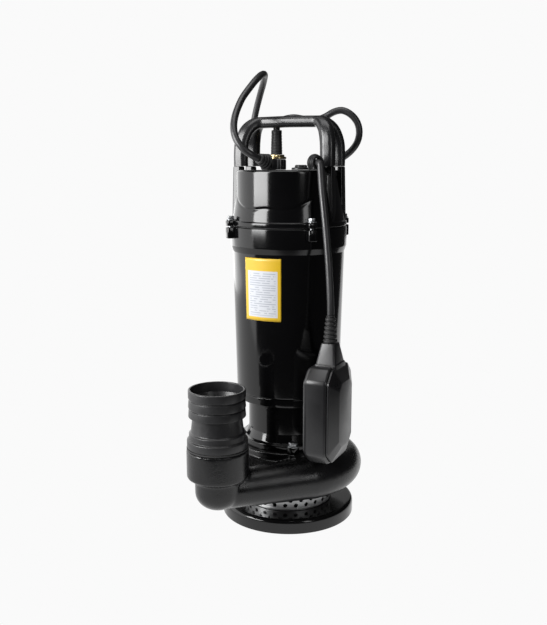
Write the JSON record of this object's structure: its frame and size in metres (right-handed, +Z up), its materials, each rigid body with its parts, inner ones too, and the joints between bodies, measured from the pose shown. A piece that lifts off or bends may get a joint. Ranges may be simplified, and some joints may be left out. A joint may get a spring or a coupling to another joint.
{
  "type": "submersible sump pump",
  "caption": "Upright submersible drainage pump with a black motor barrel, side hose outlet, strainer foot, carrying handle, power cord and a float switch on its own cord.",
  "frame": {"origin": "centre of the underside of the base plate, on the pump axis", "axes": "+Z up the pump axis, X along the carrying handle, -Y towards the label"},
  "size_m": [0.245, 0.4304, 0.5639],
  "materials": {
    "gloss_black_paint": "glossy black enamel over cast metal",
    "textured_black_cast": "satin black paint over a sand-cast surface",
    "black_nylon": "moulded black nylon, satin",
    "black_rubber": "black rubber, satin",
    "stainless_sheet": "perforated stainless sheet",
    "zinc_steel": "plated steel",
    "grey_iron": "machined grey iron",
    "enamelled_copper": "enamelled copper windings",
    "yellow_brass": "turned brass",
    "seal_ceramic": "pale seal ceramic",
    "grey_plastic": "moulded grey plastic",
    "printed_label": "printed film label with a yellow border"
  },
  "bodies": {
    "pump": {"adapter_gasket": "black_rubber", "base_plate": "gloss_black_paint", "base_post_1": "zinc_steel", "base_post_2": "zinc_steel", "base_post_3": "zinc_steel", "carry_handle": "black_nylon", "casing_bolt_1": "zinc_steel", "casing_bolt_2": "zinc_steel", "casing_bolt_3": "zinc_steel", "casing_bolt_4": "zinc_steel", "cord_sleeve": "black_rubber", "cover_bolt_1": "zinc_steel", "cover_bolt_2": "zinc_steel", "cover_bolt_3": "zinc_steel", "cover_bolt_4": "zinc_steel", "cover_gasket": "black_rubber", "float_cord": "black_rubber", "float_cord_clip": "black_nylon", "float_gland": "black_nylon", "gland_nut": "yellow_brass", "hose_adapter": "black_nylon", "info_label": "printed_label", "lower_bearing": "zinc_steel", "lower_bracket": "textured_black_cast", "lower_winding": "enamelled_copper", "motor_barrel": "gloss_black_paint", "oil_chamber": "textured_black_cast", "oil_plug": "zinc_steel", "plug_body": "black_rubber", "plug_pin_left": "yellow_brass", "plug_pin_right": "yellow_brass", "power_boot": "black_rubber", "power_cord": "black_rubber", "power_cord_coil": "black_rubber", "power_cord_tail": "black_rubber", "power_outlet": "black_nylon", "run_capacitor": "grey_plastic", "shaft_seal_seat": "seal_ceramic", "stator_core": "grey_iron", "strainer_basket": "stainless_sheet", "suction_cover": "textured_black_cast", "terminal_block": "grey_plastic", "top_cover": "gloss_black_paint", "upper_bearing": "zinc_steel", "upper_bracket": "grey_iron", "upper_winding": "enamelled_copper", "vent_plug": "black_nylon", "volute_casing": "textured_black_cast"},
    "rotor": {"impeller": "grey_iron", "impeller_nut": "zinc_steel", "shaft_seal_head": "grey_iron", "shaft": "zinc_steel", "rotor_core": "grey_iron"},
    "float": {"float_cord_lower": "black_rubber", "float_boot": "black_rubber", "float_body": "black_nylon", "float_lid": "black_nylon", "micro_switch": "grey_plastic"},
    "switch_ball": {"switch_ball": "zinc_steel"}
  },
  "joints": [
    {"name": "rotor_spin", "type": "hinge", "parent": "pump", "child": "rotor", "pos_m": [0, 0, 0.25], "axis": [0, 0, 1], "continuous": true},
    {"name": "float_swing", "type": "hinge", "parent": "pump", "child": "float", "pos_m": [0.06, -0.0458, 0.4505], "axis": [-0.6159, -0.7878, 0], "range_deg": [0, 120]},
    {"name": "switch_ball_slide", "type": "slide", "parent": "float", "child": "switch_ball", "axis": [0, 0, 1], "range_m": [0, 0.05]}
  ]
}
